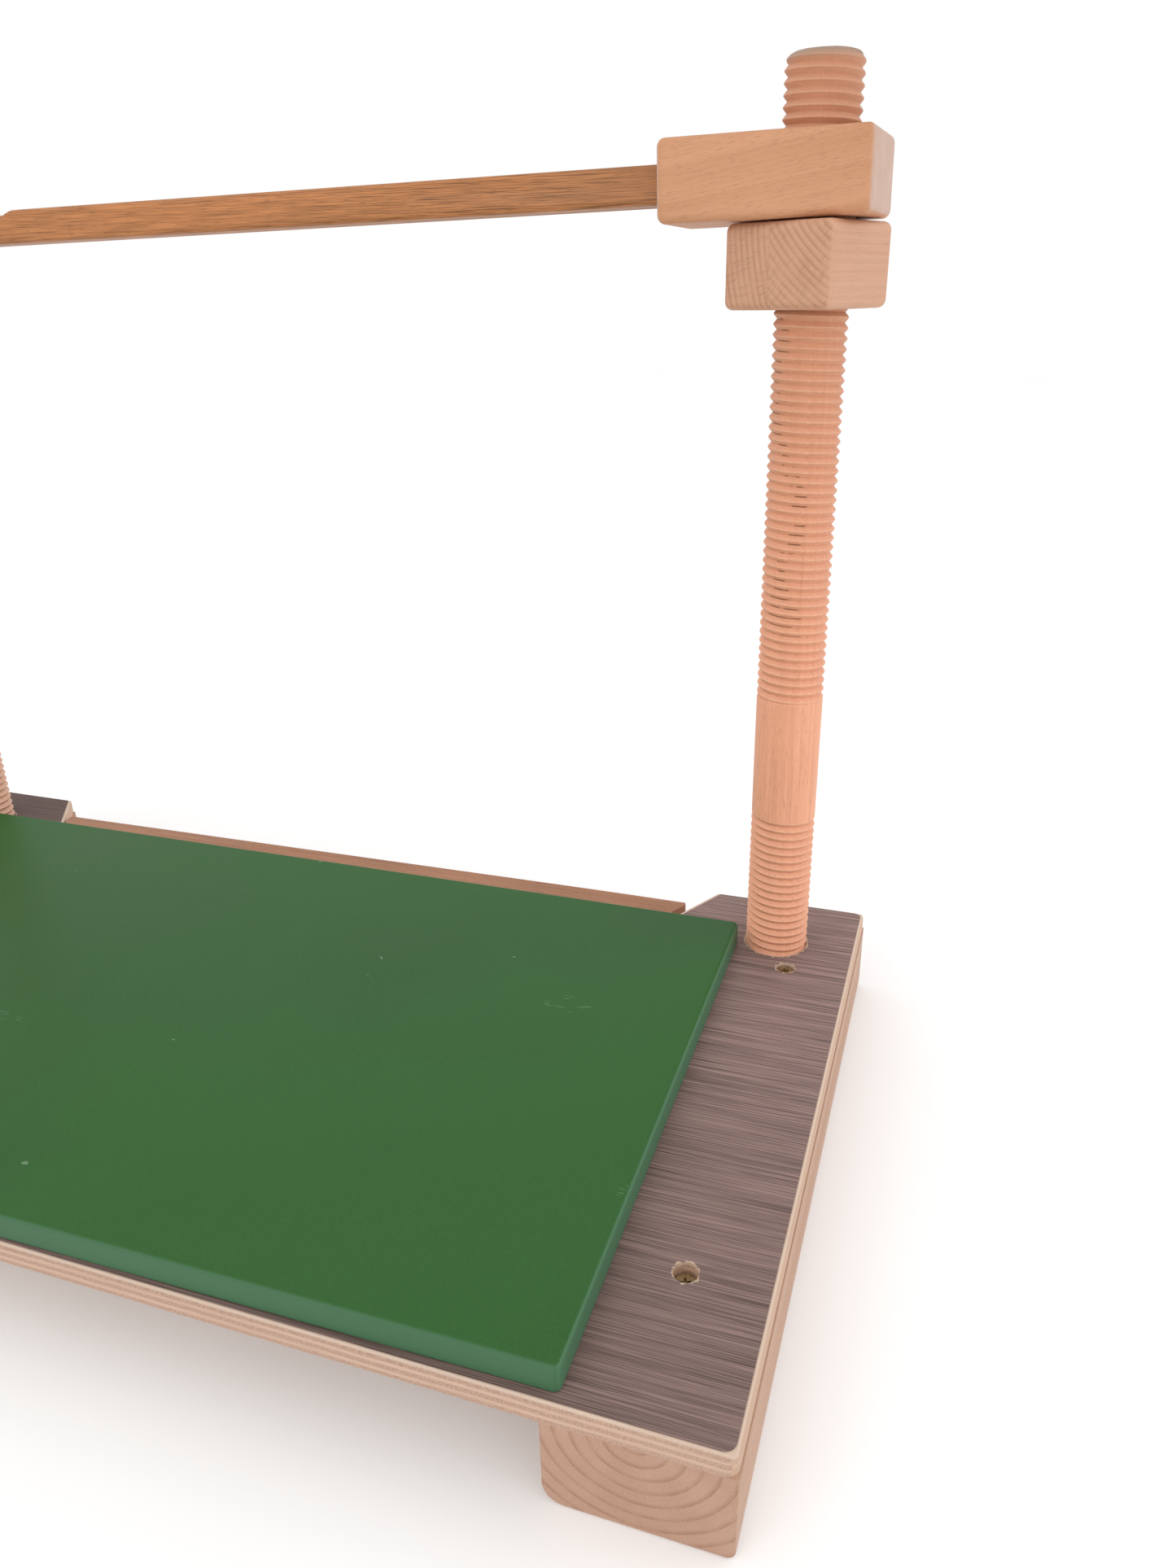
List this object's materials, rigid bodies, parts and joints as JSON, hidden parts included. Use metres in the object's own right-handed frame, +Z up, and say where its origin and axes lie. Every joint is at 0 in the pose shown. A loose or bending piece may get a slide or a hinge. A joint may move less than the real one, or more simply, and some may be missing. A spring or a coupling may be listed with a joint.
{
  "type": "bookbinding sewing frame",
  "caption": "Wooden sewing frame (loom) for bookbinding: a base on foot battens, threaded posts, a slotted back edge and a crossbar raised by turning square nuts.",
  "frame": {"origin": "centre of the footprint, on the surface the feet stand on", "axes": "+X to the right along the crossbar, +Y to the back, where the posts and the cord slot are, +Z up along the posts"},
  "size_m": [0.6156, 0.34, 0.4505],
  "materials": {
    "foot_beech": "bare planed beech, end grain at the front",
    "plywood": "bare sawn plywood edge, plies showing",
    "film": "printed wood-grain film, grey brown, matt",
    "post_beech": "bare turned beech, cut thread with small tears",
    "zinc": "yellow zinc plate",
    "arm_beech": "bare planed beech, short dark flecks",
    "bar_wood": "bare planed hardwood, open grain, a dark stain near one end",
    "nut_beech": "bare beech, end grain on two faces",
    "green_board": "green satin coating with light scratches",
    "strip_beech": "bare planed beech, darker",
    "dowel_beech": "bare dowel rod"
  },
  "bodies": {
    "base": {"foot_left": "foot_beech", "foot_right": "foot_beech", "base_board": "plywood", "base_film": "film", "post_left": "post_beech", "post_right": "post_beech", "screws_left": "zinc", "screws_right": "zinc"},
    "crossbar_body": {"crossbar": "bar_wood", "arm_left": "arm_beech", "arm_right": "arm_beech"},
    "nut_right": {"nut_right_narrow": "nut_beech", "nut_right_wide": "nut_beech"},
    "nut_left": {"nut_left_narrow": "nut_beech", "nut_left_wide": "nut_beech"},
    "board_body": {"sewing_board": "green_board"},
    "strip_body": {"slot_strip": "strip_beech", "strip_dowels": "dowel_beech"}
  },
  "joints": [
    {"name": "bar_lift", "type": "slide", "parent": "base", "child": "crossbar_body", "axis": [0, 0, 1], "range_m": [-0.16, 0.027]},
    {"name": "nut_right_spin", "type": "hinge", "parent": "crossbar_body", "child": "nut_right", "pos_m": [0.265, 0.127, 0.373], "axis": [0, 0, 1], "range_deg": [-2300, 13610]},
    {"name": "nut_left_spin", "type": "hinge", "parent": "crossbar_body", "child": "nut_left", "pos_m": [-0.265, 0.127, 0.365], "axis": [0, 0, 1], "range_deg": [-2300, 13610]},
    {"name": "board_slide", "type": "slide", "parent": "base", "child": "board_body", "axis": [0, -1, 0], "range_m": [0, 0.3]},
    {"name": "strip_slide", "type": "slide", "parent": "base", "child": "strip_body", "axis": [0, 1, 0], "range_m": [0, 0.06]}
  ],
  "couplings": [
    {"joint": "nut_right_spin", "follows": "bar_lift", "rad_per_m": -1484.2},
    {"joint": "nut_left_spin", "follows": "bar_lift", "rad_per_m": -1484.2}
  ]
}
